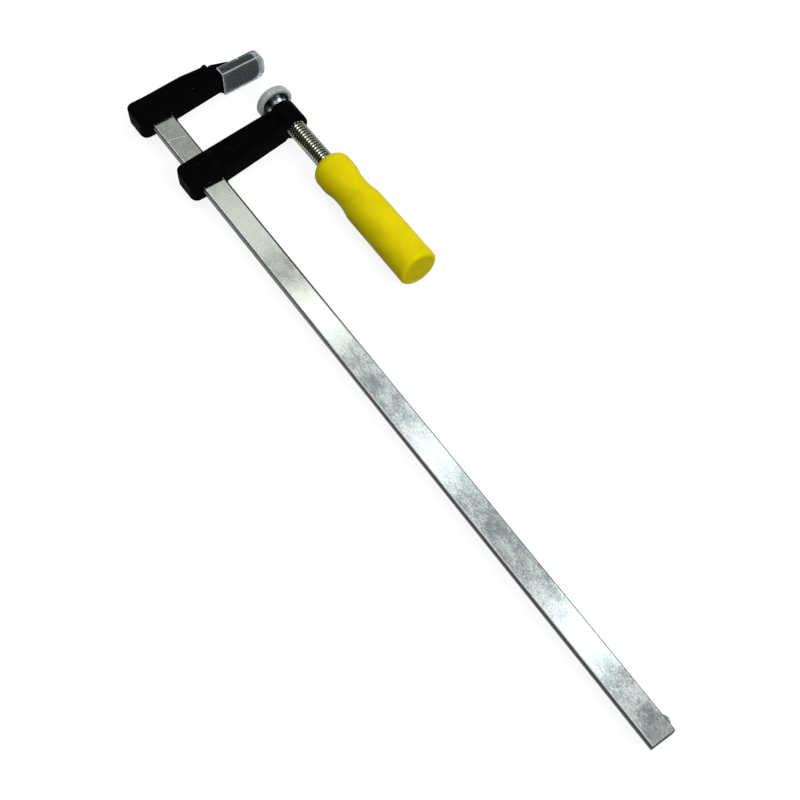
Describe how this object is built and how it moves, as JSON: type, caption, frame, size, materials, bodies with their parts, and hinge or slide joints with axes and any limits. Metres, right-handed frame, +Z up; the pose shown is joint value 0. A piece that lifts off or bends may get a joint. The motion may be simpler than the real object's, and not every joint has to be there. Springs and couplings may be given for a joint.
{
  "type": "bar clamp",
  "caption": "Bar clamp with a cast fixed jaw, a cast jaw that slides along a flat steel bar, and a screw spindle with a round swivel pad and a straight hand grip.",
  "frame": {"origin": "on the fixed jaw's clamping face, the outer face of its soft cap, in line with the spindle", "axes": "+X along the bar from the fixed jaw to the bar's free end, +Y from the bar towards the tips of the jaws, +Z up with the clamp lying on its side"},
  "size_m": [0.6831, 0.128, 0.0348],
  "materials": {
    "zinc_bar": "zinc-plated flat steel, cloudy satin",
    "black_paint": "satin black paint on cast iron",
    "soft_cap": "cloudy, soft, see-through plastic",
    "soft_pad_cap": "cloudy, soft, see-through plastic",
    "zinc_thread": "bright zinc plate",
    "zinc_pad": "bright bluish zinc plate",
    "yellow_grip": "satin yellow plastic",
    "yellow_plug": "satin yellow plastic"
  },
  "bodies": {
    "rail": {"bar": "zinc_bar", "fixed_jaw": "black_paint", "jaw_rivets": "black_paint", "jaw_tip_cap": "soft_cap"},
    "sliding_jaw": {"sliding_jaw": "black_paint"},
    "pad": {"pressure_pad": "zinc_pad", "pad_cap": "soft_pad_cap"},
    "spindle": {"spindle": "zinc_thread", "handle": "yellow_grip", "handle_washer": "zinc_pad", "handle_plug": "yellow_plug"}
  },
  "joints": [
    {"name": "jaw_slide", "type": "slide", "parent": "rail", "child": "sliding_jaw", "axis": [1, 0, 0], "range_m": [-0.013, 0.555]},
    {"name": "pad_travel", "type": "slide", "parent": "sliding_jaw", "child": "pad", "axis": [-1, 0, 0], "range_m": [-0.0018, 0.024]},
    {"name": "spindle_turn", "type": "hinge", "parent": "pad", "child": "spindle", "pos_m": [0.0465, 0, 0], "axis": [-1, 0, 0], "range_deg": [-217, 2881]}
  ],
  "couplings": [
    {"joint": "spindle_turn", "follows": "pad_travel", "rad_per_m": 2094.4}
  ]
}
